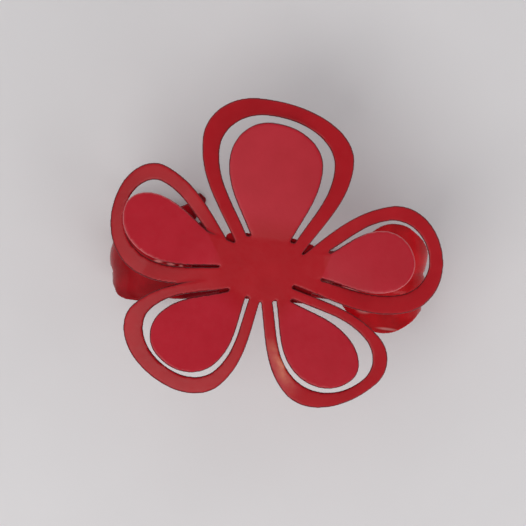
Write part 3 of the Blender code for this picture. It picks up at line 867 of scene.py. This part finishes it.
def flower_enamel():
    """Satin red lacquer, deep on the rings, with painted light and shade: a painted sheen on the
    tongues, painted shade on the sheet's edges, and a painted highlight on two tongue rims and on
    one ring limb.
    """
    n = Nodes("flower_enamel")
    cloudy = n.noise(140.0, 3.0)
    ring = n.ramp(cloudy, 0.30, 0.70, RING_REDS)
    # the tongues take a painted sheen, a lighter copy of the rings' red
    tongue = n.ramp(cloudy, 0.30, 0.70, TONGUE_SHEEN_REDS)
    body = n.mix(n.attribute("tongue"), ring, tongue)
    # painted highlight on one ring limb: streaked orange mixed into the red, helped by a little
    # coat
    painted_highlight = n.attribute("painted_highlight")
    streaks = n.ramp(n.noise(420.0, 2.0), 0.40, 0.60, HIGHLIGHT_REDS)
    highlighted = n.mix(n.range(painted_highlight, 0.15, 0.9, 0.0, 1.0), body, streaks)
    # painted shade: the red turns dark where the sheet turns away from the flat
    rim = n.range(n.attribute("rim"), 0.03, 0.28, 0.0, 1.0)
    # on two tongue rims the edge colour is a painted highlight instead of painted shade
    edge = n.mix(n.attribute("pale"), EDGE_SHADE, RIM_HIGHLIGHT)
    colour = n.mix(rim, highlighted, edge)
    n.link(colour, n.shader.inputs["Base Color"])
    rough = n.range(n.noise(900.0, 2.0), 0.3, 0.7, 0.29, 0.37)
    n.link(rough, n.shader.inputs["Roughness"])
    n.shader.inputs["Specular IOR Level"].default_value = 0.19
    n.link(n.range(painted_highlight, 0.0, 1.0, 0.0, 0.12), n.shader.inputs["Coat Weight"])
    n.shader.inputs["Coat Roughness"].default_value = 0.16
    n.bump(n.noise(1500.0, 2.0), 0.12, 0.0001)
    return n.material


def claw_enamel(name, light_level):
    """The claw's glossier, deeper red lacquer, with painted shade on its cut sides and teeth,
    painted highlights, and a red scaled by each piece's painted light level.
    """
    n = Nodes(name)
    # dark and light blotches: partly random tone, partly a painted reflection for the blotchy
    # reflections on the gloss
    cloudy = n.noise(170.0, 3.0)
    # the red scaled by the piece's painted light level
    deep = (CLAW_REDS[0] * light_level, 0.002, 0.005, 1.0)
    light = (CLAW_REDS[1] * light_level, 0.004, 0.009, 1.0)
    body = n.ramp(cloudy, 0.38, 0.60, (deep, light))
    # painted highlights: a pale pink mixed in at the listed spots
    bright = n.range(n.attribute("painted_highlight"), 0.25, 0.8, 0.0, 1.0)
    highlighted = n.mix(bright, body, CLAW_HIGHLIGHT)
    # painted shade on the cut sides and the teeth
    rim = n.range(n.attribute("rim"), 0.55, 0.95, 0.0, 1.0)
    colour = n.mix(rim, highlighted, CLAW_EDGE_SHADE)
    n.link(colour, n.shader.inputs["Base Color"])
    rough = n.range(n.noise(700.0, 2.0), 0.3, 0.7, 0.20, 0.28)
    n.link(rough, n.shader.inputs["Roughness"])
    n.shader.inputs["Specular IOR Level"].default_value = 0.02
    n.shader.inputs["Coat Weight"].default_value = 0.22
    n.shader.inputs["Coat Roughness"].default_value = 0.10
    n.bump(n.noise(420.0, 2.0), 0.22, 0.0002)
    return n.material


def spring_steel():
    """Bright drawn steel with fine streaks."""
    n = Nodes("spring_steel")
    cloudy = n.noise(1200.0, 4.0)
    body = n.ramp(cloudy, 0.35, 0.65, STEEL_GREYS)
    n.link(body, n.shader.inputs["Base Color"])
    n.link(n.range(cloudy, 0.3, 0.7, 0.22, 0.36), n.shader.inputs["Roughness"])
    n.shader.inputs["Metallic"].default_value = 1.0
    n.bump(cloudy, 0.1, 0.0001)
    return n.material


def table_paper():
    """The pale, faintly mottled surface under the clip."""
    n = Nodes("table_paper")
    body = n.ramp(n.noise(14.0, 4.0), 0.35, 0.65, PAPER_GREYS)
    n.link(body, n.shader.inputs["Base Color"])
    n.shader.inputs["Roughness"].default_value = 0.8
    n.bump(n.noise(900.0, 3.0), 0.05, 0.0001)
    return n.material


# ---- stage ----------------------------------------------------------------------------------
def make_floor():
    """A wide pale sheet under the clip, rising softly at its far edges."""
    bm = bmesh.new()
    bmesh.ops.create_grid(bm, x_segments=24, y_segments=24, size=FLOOR_HALF)
    for vert in bm.verts:
        away = max(vert.co.length - FLOOR_FLAT, 0.0)
        vert.co.z = FLOOR_CURVE * away * away - FLOOR_GAP
    mesh = bpy.data.meshes.new("table")
    bm.to_mesh(mesh)
    bm.free()
    floor = bpy.data.objects.new("table", mesh)
    bpy.context.scene.collection.objects.link(floor)
    mesh.materials.append(table_paper())


def area_light(name, place, target, size, power, colour):
    """A soft square light at a place, facing a target, all in metres and watts."""
    lamp = bpy.data.lights.new(name, "AREA")
    lamp.shape = "SQUARE"
    lamp.size = size
    lamp.energy = power
    lamp.color = colour
    light = bpy.data.objects.new(name, lamp)
    light.location = place
    light.rotation_euler = (Vector(target) - Vector(place)).to_track_quat("-Z", "Y").to_euler()
    bpy.context.scene.collection.objects.link(light)


def make_lights(hub):
    """A soft key from the low side of the picture, a weak fill and a low light from one side."""
    for name, offset, size, power, colour in LIGHTS:
        area_light(name, hub + Vector(offset), hub, size, power, colour)


def make_room():
    """A grey room, dim at its horizon and darkest straight overhead."""
    world = bpy.data.worlds.new("room")
    world.use_nodes = True
    tree = world.node_tree
    coords = tree.nodes.new("ShaderNodeTexCoord")
    split = tree.nodes.new("ShaderNodeSeparateXYZ")
    ramp = tree.nodes.new("ShaderNodeValToRGB")
    elements = ramp.color_ramp.elements
    for position, _ in ROOM_LEVELS[1:-1]:
        elements.new(position)
    for element, (position, level) in zip(elements, ROOM_LEVELS):
        element.position = position
        element.color = (level, level, ROOM_BLUE * level, 1.0)
    tree.links.new(coords.outputs["Generated"], split.inputs[0])
    tree.links.new(split.outputs["Z"], ramp.inputs["Fac"])
    tree.links.new(ramp.outputs["Color"], tree.nodes["Background"].inputs["Color"])
    tree.nodes["Background"].inputs["Strength"].default_value = ROOM_STRENGTH
    bpy.context.scene.world = world


def make_camera(hub):
    """Straight above the flower, turned with it."""
    turn = math.radians(FLOWER_TURN)
    right = Vector((math.cos(turn), math.sin(turn), 0.0))
    up = Vector((-math.sin(turn), math.cos(turn), 0.0))
    aim = hub + (right * AIM_OFFSET[0] + up * AIM_OFFSET[1]) * MM
    data = bpy.data.cameras.new("camera")
    data.lens = data.sensor_width * CAMERA_DISTANCE / FIELD_WIDTH
    data.clip_start = 0.01
    camera = bpy.data.objects.new("camera", data)
    camera.location = aim + Vector((0.0, 0.0, CAMERA_DISTANCE * MM))
    camera.rotation_euler = (0.0, 0.0, turn)
    bpy.context.scene.collection.objects.link(camera)
    bpy.context.scene.camera = camera


# ---- assembly -------------------------------------------------------------------------------
def corners(bounds):
    """A box as plain lists of numbers."""
    return [[float(value) for value in corner] for corner in bounds]


def main():
    """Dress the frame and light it."""
    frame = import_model()
    hub = Vector((PIN_X + FLOWER_SHIFT_X, PIN_Y + FLOWER_SHIFT_Y, PIN_HEIGHT + FLOWER_LIFT)) * MM
    petal_red = flower_enamel()
    # one red per piece, each scaled by its painted light level
    claw_lit_reds = {name: claw_enamel(name + "_enamel", light_level) for name, light_level in CLAW_LIGHT_LEVELS.items()}
    steel = spring_steel()

    flower = make_flower(petal_red)
    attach(flower, "flower_and_pin")
    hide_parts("flower")
    coil, legs = make_spring(steel)
    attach(coil, "flower_and_pin")
    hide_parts("torsion_spring")
    for name in JAWS:
        jaw = make_jaw(name, claw_lit_reds[name])
        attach(jaw, name + "_body")
        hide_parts(name)
        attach(legs[name], name + "_body")
    for name, finish in (("flower_bracket", claw_lit_reds["flower_bracket"]), ("hinge_pin", steel)):
        for index in range(len(frame["nodes"][name].material_slots)):
            frame["nodes"][name].material_slots[index].material = finish

    make_floor()
    make_lights(hub)
    make_room()
    make_camera(hub)
    bpy.context.scene.view_settings.view_transform = "Standard"


main()
